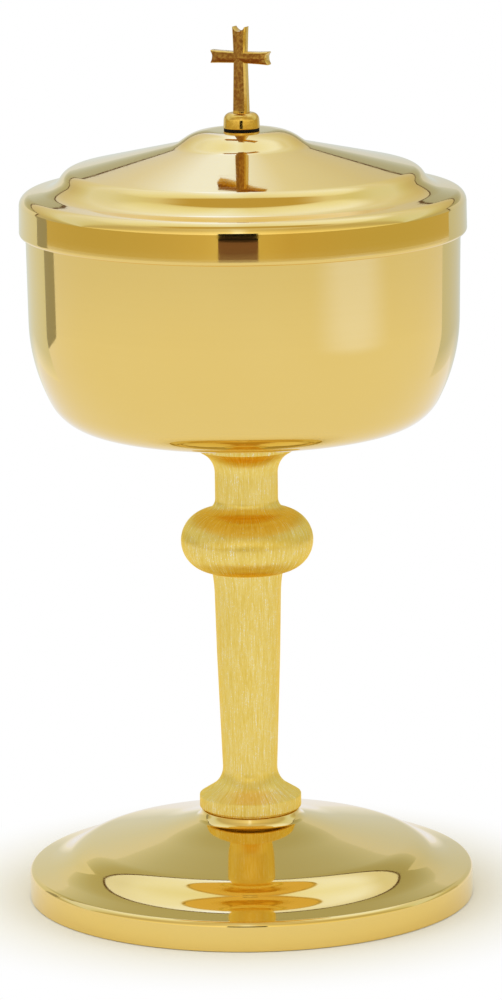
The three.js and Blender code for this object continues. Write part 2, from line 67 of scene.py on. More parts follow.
# Ranges of a share, and the middle range of a noise
WHOLE: Span = (0.0, 1.0)
FALLING: Span = (1.0, 0.0)
MIDDLE: Span = (0.3, 0.7)

# Detail and roughness of noises
SMOOTH: Span = (1.0, 0.5)
SOFT: Span = (2.0, 0.5)
EVEN: Span = (3.0, 0.5)
SPECKLED: Span = (2.0, 0.6)
GRAINED: Span = (3.0, 0.6)
SCRATCHED: Span = (3.0, 0.65)
COARSE: Span = (4.0, 0.6)


class Body(Enum):
    """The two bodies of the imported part."""

    VESSEL = "vessel"
    LID = "lid"


class Slot(Enum):
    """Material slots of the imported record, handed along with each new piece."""

    POLISHED = "polished_gold"
    SATIN = "satin_gold"
    CAST = "cast_gold"
    FIBRE = "dark_fibre"


class Smoothness(Enum):
    """Number of facets round a turned piece."""

    SHELL = 192
    STEM = 144
    NOTCH = 96
    SMALL = 64


# Outlines and the bench they are worked on


@dataclass(frozen=True)
class Corner:
    """One corner of a turned outline, in millimetres."""

    radius: float
    height: float
    round: float = 0.0

    @property
    def at(self) -> Vector:
        """Place of the corner as a flat vector of radius and height."""
        return Vector((self.radius, self.height))


def left_of(direction: Vector) -> Vector:
    """Returns the direction turned a quarter to the left."""
    return Vector((-direction.y, direction.x))


def turn_between(before: Vector, after: Vector) -> float:
    """Returns the signed angle from one direction to the next, counter-clockwise positive."""
    return math.atan2(before.x * after.y - before.y * after.x, before.dot(after))


def offset_outline(outline: Outline, distance: float) -> Outline:
    """Moves an outline sideways by a sheet's thickness.

    Args:
        outline: corners in order.
        distance: millimetres towards the left of the way along the outline.

    Returns:
        The moved corners, with their rounds made larger or smaller to stay parallel.
    """
    moved = []
    for i, here in enumerate(outline):
        into = (here.at - outline[i - 1].at).normalized() if i else None
        out = (outline[i + 1].at - here.at).normalized() if i + 1 < len(outline) else None
        into = into or out
        out = out or into
        mitre = (left_of(into) + left_of(out)) / (1 + into.dot(out))
        place = here.at + mitre * distance
        side = math.copysign(1, turn_between(into, out))
        around = max(here.round - distance * side, 0) if here.round else 0
        moved.append(Corner(place.x, place.y, around))
    return moved


class Bench:
    """Modelling steps in edit mode, shared by all pieces."""

    LINE_STEP = 3.0
    ARC_STEP = math.radians(3)
    ARC_CHORD = 1.4
    WELD = 1e-6
    SHARP = math.radians(32)

    @staticmethod
    def seed(name: str, at: Vector) -> Object:
        """Starts a piece from one vertex and leaves it in edit mode.

        Args:
            name: name of the new piece.
            at: flat vector of radius and height, in millimetres.

        Returns:
            The new object.
        """
        place = (at.x * MM, 0, at.y * MM)
        bpy.ops.mesh.primitive_plane_add(size=MM, enter_editmode=True, location=place)
        bpy.ops.mesh.merge(type="CENTER")
        piece = bpy.context.object
        piece.name = name
        piece.data.name = name
        return piece

    @classmethod
    def line(cls, start: Vector, end: Vector) -> None:
        """Extrudes the selected vertex along a straight run, in short steps."""
        span = (end - start) * MM
        if span.length < cls.WELD:
            return
        count = max(1, math.ceil((end - start).length / cls.LINE_STEP))
        for _ in range(count):
            move = (span.x / count, 0, span.y / count)
            bpy.ops.mesh.extrude_region_move(TRANSFORM_OT_translate={"value": move})

    @classmethod
    def arc(cls, centre: Vector, radius: float, turn: float) -> None:
        """Spins the selected vertex round a fillet's centre, counter-clockwise where the turn is positive."""
        steps = max(2, math.ceil(abs(turn) / cls.ARC_STEP), math.ceil(abs(turn) * radius / cls.ARC_CHORD))
        middle = (centre.x * MM, 0, centre.y * MM)
        bpy.ops.mesh.spin(steps=steps, angle=turn, center=middle, axis=(0, 1, 0))

    @classmethod
    def follow(cls, outline: Outline) -> None:
        """Extrudes and spins the selected vertex along an outline.

        Args:
            outline: corners in order, the first one at the vertex. Both end corners stay sharp.
        """
        pen = outline[0].at
        for before, here, after in zip(outline, outline[1:], outline[2:]):
            into = (here.at - before.at).normalized()
            out = (after.at - here.at).normalized()
            turn = turn_between(into, out)
            setback = here.round * math.tan(abs(turn) / 2)
            start = here.at - into * setback
            cls.line(pen, start)
            pen = here.at + out * setback
            if here.round:
                centre = start + left_of(into) * math.copysign(here.round, turn)
                cls.arc(centre, here.round, turn)
        cls.line(pen, outline[-1].at)

    @classmethod
    def turned(cls, name: str, outline: Outline, smoothness: Smoothness, closed: bool = True) -> Object:
        """Turns a solid from an outline about the stem's axis.

        Args:
            name: name of the new piece.
            outline: corners in order.
            smoothness: number of facets round it.
            closed: whether the outline runs back to its first corner.

        Returns:
            The finished solid.
        """
        piece = cls.seed(name, outline[0].at)
        cls.follow([*outline, outline[0]] if closed else outline)
        return cls.spin(piece, smoothness)

    @classmethod
    def spin(cls, piece: Object, smoothness: Smoothness) -> Object:
        """Spins the drawn outline once round the stem's axis and finishes the solid."""
        cls.weld()
        bpy.ops.mesh.select_all(action="SELECT")
        bpy.ops.mesh.spin(steps=smoothness.value, angle=math.tau, center=(0, 0, 0), axis=(0, 0, 1))
        cls.weld()
        bpy.ops.mesh.normals_make_consistent(inside=False)
        return cls.finish(piece)

    @classmethod
    def weld(cls) -> None:
        """Merges doubles of the edited mesh."""
        bpy.ops.mesh.select_all(action="SELECT")
        bpy.ops.mesh.remove_doubles(threshold=cls.WELD)

    @classmethod
    def finish(cls, piece: Object) -> Object:
        """Leaves edit mode, puts the piece's place into its mesh, shades it smooth and returns it."""
        if piece.mode == "EDIT":
            bpy.ops.object.mode_set(mode="OBJECT")
        cls.settle(piece)
        bpy.ops.object.shade_smooth_by_angle(angle=cls.SHARP)
        return piece

    @staticmethod
    def choose(piece: Object) -> None:
        """Makes a piece the only selected and active one."""
        bpy.ops.object.select_all(action="DESELECT")
        piece.select_set(True)
        bpy.context.view_layer.objects.active = piece

    @classmethod
    def settle(cls, piece: Object) -> None:
        """Puts a piece's place, turn and scale into its mesh."""
        cls.choose(piece)
        bpy.ops.object.transform_apply(location=True, rotation=True, scale=True)

    @staticmethod
    def pick(piece: Object, test: Callable[[bmesh.types.BMVert], bool]) -> None:
        """Selects the edited piece's vertices that pass a test, and what lies between them."""
        bpy.ops.mesh.select_mode(type="VERT")
        bpy.ops.mesh.select_all(action="DESELECT")
        mesh = bmesh.from_edit_mesh(piece.data)
        for vertex in mesh.verts:
            vertex.select_set(bool(test(vertex)))
        mesh.select_flush_mode()
        bmesh.update_edit_mesh(piece.data)

    @classmethod
    def modifier(cls, piece: Object, kind: str, **settings: object) -> None:
        """Adds a modifier and applies it at once.

        Args:
            piece: the object, in object mode.
            kind: the modifier's type.
            **settings: the modifier's own properties.
        """
        cls.choose(piece)
        modifier = piece.modifiers.new(kind.title(), kind)
        for key, value in settings.items():
            setattr(modifier, key, value)
        bpy.ops.object.modifier_apply(modifier=modifier.name)

    @classmethod
    def combine(cls, piece: Object, tool: Object, operation: str) -> None:
        """Joins or cuts a piece with another one, which is used up."""
        cls.modifier(piece, "BOOLEAN", operation=operation, object=tool, solver="EXACT")
        bpy.data.objects.remove(tool)


# Finishes


class NodeGraph:
    """A material's or world's nodes, added and joined by short calls.

    An input is a number, a colour, a vector or another node's socket.
    """

    def __init__(self, tree: bpy.types.NodeTree) -> None:
        """Empties the tree and keeps it."""
        tree.nodes.clear()
        self.tree = tree

    def add(self, kind: str, inputs: dict[str | int, Input] | None = None, **options: object) -> Node:
        """Adds a node.

        Args:
            kind: the node's type.
            inputs: a value or a socket for each named or numbered input.
            **options: the node's own properties.

        Returns:
            The new node.
        """
        node = self.tree.nodes.new(kind)
        for key, value in options.items():
            setattr(node, key, value)
        for key, value in (inputs or {}).items():
            self.put(node.inputs[key], value)
        return node

    def put(self, target: Socket, value: Input) -> None:
        """Joins a socket to an input, or sets the input's own value."""
        if isinstance(value, Socket):
            self.tree.links.new(value, target)
        else:
            target.default_value = value

    def math(self, operation: str, first: Input, second: Input = 0.0) -> Socket:
        """Returns one sum of two numbers."""
        return self.add("ShaderNodeMath", {0: first, 1: second}, operation=operation).outputs[0]

    def vector(self, operation: str, *vectors: Input) -> Socket:
        """Returns one sum of vectors, as a number where the operation gives one."""
        node = self.add("ShaderNodeVectorMath", dict(enumerate(vectors)), operation=operation)
        return node.outputs["Value" if operation in ("LENGTH", "DISTANCE", "DOT_PRODUCT") else "Vector"]

    def scaled(self, vector: Input, share: Input) -> Socket:
        """Returns a vector or colour times a number."""
        return self.add("ShaderNodeVectorMath", {0: vector, "Scale": share}, operation="SCALE").outputs[0]

    def parts(self, vector: Input) -> bpy.types.NodeOutputs:
        """Returns a vector's three numbers, X, Y and Z."""
        return self.add("ShaderNodeSeparateXYZ", {"Vector": vector}).outputs

    def spread(self, value: Input, span: Span, to: Span = WHOLE) -> Socket:
        """Returns a number moved smoothly from one range to another, and held at its ends."""
        inputs = {"Value": value, "From Min": span[0], "From Max": span[1], "To Min": to[0], "To Max": to[1]}
        return self.add("ShaderNodeMapRange", inputs, interpolation_type="SMOOTHSTEP").outputs[0]

    def noise(self, vector: Input, scale: float, detail: float, rough: float) -> Socket:
        """Returns a noise's value at a vector."""
        inputs = {"Vector": vector, "Scale": scale, "Detail": detail, "Roughness": rough}
        return self.add("ShaderNodeTexNoise", inputs).outputs[0]

    def ramp(self, value: Input, stops: Stops) -> Socket:
        """Returns a colour from a row of stops."""
        node = self.add("ShaderNodeValToRGB", {"Fac": value})
        elements = node.color_ramp.elements
        while len(elements) < len(stops):
            elements.new(0.5)
        for element, (place, color) in zip(elements, stops):
            element.position = place
            element.color = (*color, 1)
        return node.outputs[0]

    def blend(self, share: Input, first: Input, second: Input) -> Socket:
        """Returns a mix of two colours, by the share of the second one."""
        node = self.add("ShaderNodeMix", {0: share}, data_type="RGBA")
        colors = [socket for socket in node.inputs if socket.type == "RGBA"]
        for socket, value in zip(colors, (first, second)):
            self.put(socket, value if isinstance(value, Socket) else (*value, 1))
        return next(socket for socket in node.outputs if socket.type == "RGBA")

    def bump(self, height: Input, distance: float, normal: Socket | None = None) -> Socket:
        """Returns a normal that follows a height over another normal, with its relief in millimetres."""
        node = self.add("ShaderNodeBump", {"Height": height, "Strength": 1.0, "Distance": distance * MM})
        if normal is not None:
            self.put(node.inputs["Normal"], normal)
        return node.outputs[0]

    def object_place(self) -> Socket:
        """Returns the place on the piece, in metres."""
        return self.add("ShaderNodeTexCoord").outputs["Object"]

    def turned_place(self, place: Socket) -> Socket:
        """Returns radius and height as a vector, the same all round the axis."""
        parts = self.parts(place)
        squares = [self.math("POWER", part, 2.0) for part in parts[:2]]
        across = self.math("SQRT", self.math("ADD", *squares))
        return self.add("ShaderNodeCombineXYZ", {"X": across, "Z": parts["Z"]}).outputs[0]

    def drawn_noise(self, place: Socket, marks: Span, detail: float, rough: float) -> Socket:
        """Makes a noise that is drawn out along the meridians.

        Args:
            place: the place on the piece.
            marks: change round the whole axis, and for each metre of height.
            detail: the noise's detail.
            rough: the noise's roughness.

        Returns:
            The noise's value.
        """
        across, along = marks
        around = self.vector("NORMALIZE", self.vector("MULTIPLY", place, (1.0, 1.0, 0.0)))
        wide = self.vector("MULTIPLY", around, (across, across, 0.0))
        high = self.vector("MULTIPLY", place, (0.0, 0.0, along))
        return self.noise(self.vector("ADD", wide, high), 1.0, detail, rough)

    def output(self, shader: Node) -> None:
        """Makes a shader the material's own."""
        self.add("ShaderNodeOutputMaterial", {"Surface": shader.outputs[0]})

    def surface(self, color: Input, roughness: Input, more: dict[str, Input], metal: float = 1.0) -> Node:
        """Adds and returns the shader of a surface, of metal unless told otherwise."""
        inputs = {"Base Color": color, "Roughness": roughness, "Metallic": metal, **more}
        return self.add("ShaderNodeBsdfPrincipled", inputs)

    def cover(self, share: Input, under: Node, over: Node) -> Node:
        """Returns a shader that covers another one by a share."""
        return self.add("ShaderNodeMixShader", {0: share, 1: under.outputs[0], 2: over.outputs[0]})


def new_material(name: str) -> tuple[Material, NodeGraph]:
    """Returns a new material and its empty graph."""
    material = bpy.data.materials.new(name)
    material.use_nodes = True
    return material, NodeGraph(material.node_tree)


@dataclass(frozen=True)
class Finish:
    """A finish's name, its two colours, its roughness and its relief in millimetres."""

    name: str
    color: Color
    shade: Color
    roughness: float
    relief: float

    def material(self) -> Material:
        """Returns this finish's material, made once."""
        found = bpy.data.materials.get(self.name)
        if found:
            return found
        material, graph = new_material(self.name)
        material.diffuse_color = (*self.color, 1)
        graph.output(self.build(graph))
        return material

    def build(self, graph: NodeGraph) -> Node:
        """Lays out the finish's nodes and returns its shader."""
        raise NotImplementedError

    def about(self, before: float, after: float) -> Span:
        """Returns a range round the finish's roughness."""
        return self.roughness + before, self.roughness + after

    def dress(self, piece: Object) -> None:
        """Puts the finish on every face of a piece."""
        piece.data.materials.clear()
        piece.data.materials.append(self.material())


@dataclass(frozen=True)
class PolishedGold(Finish):
    """Spun sheet, polished to a mirror and lacquered, with faint turning lines."""

    name: str = "polished_gold_mirror"
    color: Color = (0.875, 0.64, 0.19)
    shade: Color = (0.86, 0.615, 0.165)
    roughness: float = 0.035
    relief: float = 0.0009
    ring_scale: float = 2600.0
    cloud_scale: float = 38.0
    haze_scale: float = 700.0
    haze_range: Span = (0.3, 0.75)
    haze: float = 0.05
    wave_scale: float = 22.0
    wave_relief: float = 0.05
    lacquer: float = 0.5
    lacquer_roughness: float = 0.03
    lacquer_index: float = 1.5

    def build(self, graph: NodeGraph) -> Node:
        """Lays out the mirror, its turning lines and a slight waviness."""
        place = graph.object_place()
        turned = graph.turned_place(place)
        rings = graph.noise(turned, self.ring_scale, *GRAINED)
        haze = graph.noise(turned, self.haze_scale, *SOFT)
        cloud = graph.noise(place, self.cloud_scale, *EVEN)
        wavy = graph.bump(graph.noise(place, self.wave_scale, *SMOOTH), self.wave_relief)
        lacquer = {
            "Normal": graph.bump(rings, self.relief, wavy),
            "Coat Weight": self.lacquer,
            "Coat Roughness": self.lacquer_roughness,
            "Coat IOR": self.lacquer_index,
        }
        rough = graph.spread(haze, self.haze_range, self.about(0.0, self.haze))
        return graph.surface(graph.blend(cloud, self.color, self.shade), rough, lacquer)


@dataclass(frozen=True)
class SatinGold(Finish):
    """Turned brass, scratch-brushed along the stem and gilded, with glints painted near white on sparse specks
    as painted highlights.

    The four kinds of marks are given by their change round the axis and for each metre of height.
    """

    name: str = "satin_gold_brushed"
    color: Color = (1.0, 0.8, 0.26)
    shade: Color = (0.92, 0.66, 0.11)
    # near-white colour of the painted glints, a painted highlight
    painted_glint_color: Color = (1.0, 0.97, 0.8)
    edge_tint: Color = (1.0, 0.8, 0.36)
    roughness: float = 0.4
    uneven: float = 0.06
    relief: float = 0.03
    across: float = 0.85
    fine_marks: Span = (52.0, 190.0)
    short_marks: Span = (70.0, 800.0)
    long_marks: Span = (9.0, 40.0)
    specks: Span = (80.0, 2600.0)
    fine_range: Span = (0.35, 0.75)
    # spread and share of the painted glints (painted highlights)
    painted_glint_range: Span = (0.58, 0.68)
    painted_glint_share: Span = (0.7, 1.25)
    tone_range: Span = (0.38, 0.62)
    long_range: Span = (0.45, 0.65)
    long_share: float = 0.4
    fine_depth: float = 0.6
    short_depth: float = 0.5

    def build(self, graph: NodeGraph) -> Node:
        """Lays out fine and coarse scratches, painted glints on sparse specks, and a sheen that spreads across
        them.
        """
        place = graph.object_place()
        fine = graph.drawn_noise(place, self.fine_marks, *SCRATCHED)
        short = graph.drawn_noise(place, self.short_marks, *SCRATCHED)
        long = graph.drawn_noise(place, self.long_marks, *GRAINED)
        speck = graph.drawn_noise(place, self.specks, *SPECKLED)
        # painted glints: sparse specks on the lighter scratches painted near white as highlights
        painted_glint = graph.math("MULTIPLY", speck, graph.spread(fine, self.fine_range, self.painted_glint_share))
        painted_glint = graph.spread(painted_glint, self.painted_glint_range)
        mean = graph.math("MULTIPLY", graph.math("ADD", fine, short), 0.5)
        tone = graph.blend(graph.spread(mean, self.tone_range), self.shade, self.color)
        tone = graph.blend(graph.spread(long, self.long_range, (0.0, self.long_share)), tone, self.shade)
        coarse = graph.math("MULTIPLY", graph.math("ADD", short, speck), self.short_depth)
        depth = graph.math("ADD", graph.math("MULTIPLY", fine, self.fine_depth), coarse)
        sheen = {
            "Specular Tint": (*self.edge_tint, 1),
            "Anisotropic": self.across,
            "Tangent": graph.vector("CROSS_PRODUCT", (0.0, 0.0, 1.0), place),
            "Normal": graph.bump(depth, self.relief),
        }
        rough = graph.spread(fine, MIDDLE, self.about(self.uneven, -self.uneven))
        # the colour takes the painted glints over the scratches' tone
        return graph.surface(graph.blend(painted_glint, tone, self.painted_glint_color), rough, sheen)


@dataclass(frozen=True)
class CastGold(Finish):
    """Gilded casting, smooth on its boss and edges, grained on its front and back, which are painted dark
    red-brown as painted shade and painted reflection of dark surroundings, darker still where they face down.

    `front` is the way that the front of the cross faces, and `boss_top` the level in metres where it
    begins. The share of painted shade is given for upright and for downward faces. The other two
    shares and the depth are for the smooth parts and for the cross's faces.
    """

    # material of the gilding with painted shade on the cross's front and back
    name: str = "cast_gold_painted_shade"
    color: Color = (0.84, 0.55, 0.11)
    # dark red-brown of the painted shade on the front and back faces, and of the grain's pits
    shade: Color = (0.26, 0.085, 0.016)
    roughness: float = 0.13
    cast_roughness: float = 0.36
    uneven: Span = (-0.03, 0.05)
    relief: float = 0.03
    front: Place = (-0.4226, -0.9063, 0.0)
    face_range: Span = (0.72, 0.9)
    boss_top: float = 0.2124
    boss_fade: float = 0.0006
    grain_scale: float = 1700.0
    grain_depth: Span = (0.22, 1.0)
    pit_scale: float = 1100.0
    pit_range: Span = (0.38, 0.64)
    pit_share: Span = (0.16, 0.3)
    # share of painted shade on the front and back faces, upright and facing down
    painted_shade_share: Span = (0.62, 0.9)

    def build(self, graph: NodeGraph) -> Node:
        """Lays out the grain of the casting and the painted shade on its front and back faces."""
        coordinates = graph.add("ShaderNodeTexCoord").outputs
        place, normal = coordinates["Object"], coordinates["Normal"]
        facing = graph.math("ABSOLUTE", graph.vector("DOT_PRODUCT", normal, self.front))
        above = graph.spread(graph.parts(place)["Z"], (self.boss_top, self.boss_top + self.boss_fade))
        face = graph.math("MULTIPLY", graph.spread(facing, self.face_range), above)
        # downward faces take more painted shade
        under = graph.spread(graph.parts(normal)["Z"], (-0.5, 0.0), FALLING)
        # painted shade and painted reflection: front and back faces darkened, more where they face down
        ground = graph.math("MULTIPLY", face, graph.spread(under, WHOLE, self.painted_shade_share))
        pits = graph.spread(graph.noise(place, self.pit_scale, *GRAINED), self.pit_range, FALLING)
        pits = graph.math("MULTIPLY", pits, graph.spread(face, WHOLE, self.pit_share))
        # the colour takes the painted shade and the grain's pits
        color = graph.blend(graph.math("ADD", ground, pits), self.color, self.shade)
        grain = graph.noise(place, self.grain_scale, *COARSE)
        rough = graph.spread(face, WHOLE, (self.roughness, self.cast_roughness))
        rough = graph.math("ADD", rough, graph.spread(grain, MIDDLE, self.uneven))
        depth = graph.math("MULTIPLY", grain, graph.spread(face, WHOLE, self.grain_depth))
        return graph.surface(color, rough, {"Normal": graph.bump(depth, self.relief)})


@dataclass(frozen=True)
class TurnedMetal(Finish):
    """Bare or plated metal with the marks of the lathe."""

    name: str = "turned_brass"
    color: Color = (0.62, 0.43, 0.13)
    shade: Color = (0.5, 0.33, 0.09)
    roughness: float = 0.3
    relief: float = 0.004
    mark_scale: float = 3000.0
    tarnish_scale: float = 260.0
    tarnish_range: Span = (0.35, 0.65)
    uneven: Span = (-0.06, 0.14)

    def build(self, graph: NodeGraph) -> Node:
        """Lays out the lathe marks and a thin uneven tarnish."""
        place = graph.object_place()
        rings = graph.noise(graph.turned_place(place), self.mark_scale, *SOFT)
        tarnish = graph.noise(place, self.tarnish_scale, *COARSE)
        color = graph.blend(graph.spread(tarnish, self.tarnish_range), self.color, self.shade)
        rough = graph.spread(tarnish, MIDDLE, self.about(*self.uneven))
        return graph.surface(color, rough, {"Normal": graph.bump(rings, self.relief)})


@dataclass(frozen=True)
class Fibre(Finish):
    """Dark pressed fibre."""

    name: str = "dark_fibre_matt"
    color: Color = (0.005, 0.004, 0.004)
    shade: Color = (0.014, 0.011, 0.009)
    roughness: float = 0.8
    relief: float = 0.02
    grain_scale: float = 3200.0
    uneven: float = 0.1
    shine: float = 0.2

    def build(self, graph: NodeGraph) -> Node:
        """Lays out the fibre's grain."""
        grain = graph.noise(graph.object_place(), self.grain_scale, *EVEN)
        rough = graph.spread(grain, MIDDLE, self.about(-self.uneven, self.uneven))
        matt = {"Specular IOR Level": self.shine, "Normal": graph.bump(grain, self.relief)}
        return graph.surface(graph.blend(grain, self.color, self.shade), rough, matt, metal=0.0)


# The object's sub-assemblies


def hand_over(piece: Object, body: Body, slot: Slot, finish: Finish, *nodes: str) -> None:
    """Dresses a new piece, puts it on its body and lets it stand for its CAD nodes.

    Args:
        piece: the new piece.
        body: the body it moves with.
        slot: the record's material slot; not used.
        finish: its finish.
        *nodes: the CAD nodes that it replaces.
    """
    finish.dress(piece)
    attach(piece, body.value)
    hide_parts(*nodes)
    faces = len(piece.data.polygons)
    LOG.info("%s rides on %s, stands for %s, %d faces", piece.name, body.value, ", ".join(nodes), faces)


@dataclass
class Foot:
    """The spun foot, open underneath."""

    radius: float = 60.0
    height: float = 23.2
    sheet: float = 1.5
    band_height: float = 7.6
    rim_round: float = 1.5
    hem_width: float = 3.0
    hem_height: float = 2.0
    ledge_width: float = 8.49
    ledge_rise: float = 1.93
    ledge_round: float = 15.6
    flange_width: float = 5.73
    flange_rise: float = 4.56
    shoulder_round: float = 14.7
    dome_break_radius: float = 24.0
    dome_break_drop: float = 4.85
    dome_round: float = 100.0
    collar_radius: float = 13.1
    collar_flare: float = 0.8
    collar_drop: float = 2.15
    collar_cove: float = 2.6
    collar_edge_round: float = 0.6
    bore: float = 3.3

    def outline(self) -> Outline:
        """Returns the upper side's corners, from the rod's hole to the ground."""
        ledge_radius = self.radius - self.ledge_width
        ledge_level = self.band_height + self.ledge_rise
        shoulder_radius = ledge_radius - self.flange_width
        return [
            Corner(self.bore, self.height),
            Corner(self.collar_radius, self.height, self.collar_edge_round),
            Corner(self.collar_radius + self.collar_flare, self.height - self.collar_drop, self.collar_cove),
            Corner(self.dome_break_radius, self.height - self.dome_break_drop, self.dome_round),
            Corner(shoulder_radius, ledge_level + self.flange_rise, self.shoulder_round),
            Corner(ledge_radius, ledge_level, self.ledge_round),
            Corner(self.radius, self.band_height, self.rim_round),
            Corner(self.radius, 0.0),
        ]

    def build(self) -> Object:
        """Returns the shell with its underside and its hem."""
        outer = self.outline()
        inner = offset_outline(outer, -self.sheet)
        inner[-1] = Corner(self.radius - self.sheet, self.hem_height)
        hem = self.radius - self.hem_width
        loop = [*outer, Corner(hem, 0.0), Corner(hem, self.hem_height), *reversed(inner)]
        return Bench.turned("foot_spun", loop, Smoothness.SHELL)

    def dress(self) -> None:
        """Builds the foot and puts it in place."""
        hand_over(self.build(), Body.VESSEL, Slot.POLISHED, PolishedGold(), "base_shell")


@dataclass
class Flare:
    """The form shared by the shaft's foot disc and the neck's top disc."""

    disc_radius: float = 13.7
    edge_round: float = 0.35
    slope: float = math.radians(32)
    round: float = 6.5

    def rise(self, waist: float) -> float:
        """Returns the height of the cone between a waist and the disc's edge."""
        return (self.disc_radius - waist) * math.tan(self.slope)


@dataclass
class Stem:
    """The long shaft, and the knop with the neck over it."""

    foot_level: float = 23.2
    shaft_length: float = 65.75
    land_radius: float = 12.3
    land_height: float = 0.5
    disc_height: float = 3.4
    foot_radius: float = 7.2
    belly_radius: float = 8.5
    belly_drop: float = 23.0
    belly_round: float = 500.0
    lip_radius: float = 9.55
    lip_flare: float = 0.6
    lip_height: float = 3.75
    lip_round: float = 40.0
    node_length: float = 36.35
    knop_radius: float = 17.73
    knop_bead: float = 8.15
    neck_radius: float = 8.42
    neck_cove: float = 3.5
    neck_disc_height: float = 3.0
    spigot_radius: float = 5.0
    spigot_length: float = 3.0
    boss_radius: float = 6.0
    boss_height: float = 10.0
    bore: float = 3.3
    play: float = 0.3
    flare: Flare = field(default_factory=Flare)

    @property
    def shaft_top(self) -> float:
        """Level where the knop stands on the shaft."""
        return self.foot_level + self.shaft_length

    @property
    def cup_seat(self) -> float:
        """Level where the cup stands on the neck."""
        return self.shaft_top + self.node_length

    def build_shaft(self) -> Object:
        """Returns the shaft with its foot disc, bored for the rod."""
        disc_bottom = self.foot_level + self.land_height
        disc_top = disc_bottom + self.disc_height
        sink = self.spigot_radius + self.play
        sink_floor = self.shaft_top - self.spigot_length - self.play
        disc = self.flare.disc_radius
        edge = self.flare.edge_round
        return Bench.turned(
            "shaft_brushed",
            [
                Corner(self.bore, self.foot_level),
                Corner(self.land_radius, self.foot_level),
                Corner(self.land_radius, disc_bottom),
                Corner(disc, disc_bottom, edge),
                Corner(disc, disc_top, edge),
                Corner(self.foot_radius, disc_top + self.flare.rise(self.foot_radius), self.flare.round),
                Corner(self.belly_radius, self.shaft_top - self.belly_drop, self.belly_round),
                Corner(self.lip_radius - self.lip_flare, self.shaft_top - self.lip_height, self.lip_round),
                Corner(self.lip_radius, self.shaft_top, 0.0),
                Corner(sink, self.shaft_top),
                Corner(sink, sink_floor),
                Corner(self.bore, sink_floor),
            ],
            Smoothness.STEM,
        )

    def build_node(self) -> Object:
        """Returns the knop and the neck, drawn as two arcs that meet and a flare."""
        bead = Vector((self.knop_radius - self.knop_bead, self.shaft_top + self.knop_bead))
        across = self.neck_radius + self.neck_cove - bead.x
        reach = self.knop_bead + self.neck_cove
        up = math.sqrt(reach**2 - across**2)
        cove = bead + Vector((across, up))
        meeting = math.atan2(up, across)
        piece = Bench.seed("knop_brushed", Vector((bead.x, self.shaft_top)))
        Bench.arc(bead, self.knop_bead, meeting + math.pi / 2)
        Bench.arc(cove, self.neck_cove, -meeting)
        disc_bottom = self.cup_seat - self.neck_disc_height
        flare_bottom = disc_bottom - self.flare.rise(self.neck_radius)
        sink = self.boss_radius + self.play
        sink_floor = self.cup_seat - self.boss_height - self.play
        spigot_end = self.shaft_top - self.spigot_length
        upper = [
            Corner(self.neck_radius, cove.y),
            Corner(self.neck_radius, flare_bottom, self.flare.round),
            Corner(self.flare.disc_radius, disc_bottom, self.flare.edge_round),
            Corner(self.flare.disc_radius, self.cup_seat),
            Corner(sink, self.cup_seat),
            Corner(sink, sink_floor),
            Corner(self.bore, sink_floor),
            Corner(self.bore, spigot_end),
            Corner(self.spigot_radius, spigot_end),
            Corner(self.spigot_radius, self.shaft_top),
            Corner(bead.x, self.shaft_top),
        ]
        Bench.follow(upper)
        return Bench.spin(piece, Smoothness.STEM)

    def dress(self) -> None:
        """Builds both turnings and puts them in place."""
        hand_over(self.build_shaft(), Body.VESSEL, Slot.SATIN, SatinGold(), "stem_shaft")
        hand_over(self.build_node(), Body.VESSEL, Slot.SATIN, SatinGold(), "stem_node")


@dataclass
class Cup:
    """The spun cup and the boss brazed under it."""

    seat: float = 125.3
    rim_radius: float = 57.7
    depth: float = 63.6
    sheet: float = 1.2
    seat_radius: float = 13.9
    side_setback: float = 0.62
    side_rise: float = 21.4
    side_round: float = 48.0
    corner_setback: float = 8.68
    corner_rise: float = 5.0
    corner_round: float = 13.5
    floor_setback: float = 18.5
    floor_rise: float = 2.95
    floor_round: float = 60.0
    lip_round: float = 0.35

    @property
    def lip(self) -> float:
        """Level of the lip, where the lid bears."""
        return self.seat + self.depth

    def outline(self) -> Outline:
        """Returns the outer side's corners, from the axis to the lip."""
        rim = self.rim_radius
        return [
            Corner(0.0, self.seat),
            Corner(self.seat_radius, self.seat),
            Corner(rim - self.floor_setback, self.seat + self.floor_rise, self.floor_round),
            Corner(rim - self.corner_setback, self.seat + self.corner_rise, self.corner_round),
            Corner(rim - self.side_setback, self.seat + self.side_rise, self.side_round),
            Corner(rim, self.lip, self.lip_round),
        ]

    def build(self) -> Object:
        """Returns the cup with its lip rounded on both edges."""
        outer = self.outline()
        inner = offset_outline(outer, self.sheet)
        inner[0] = Corner(0.0, inner[0].height)
        inner[-1] = Corner(self.rim_radius - self.sheet, self.lip, self.lip_round)
        return Bench.turned("cup_spun", [*outer, *reversed(inner)], Smoothness.SHELL, closed=False)

    def dress(self) -> None:
        """Builds the cup and puts it in place."""
        hand_over(self.build(), Body.VESSEL, Slot.POLISHED, PolishedGold(), "bowl")


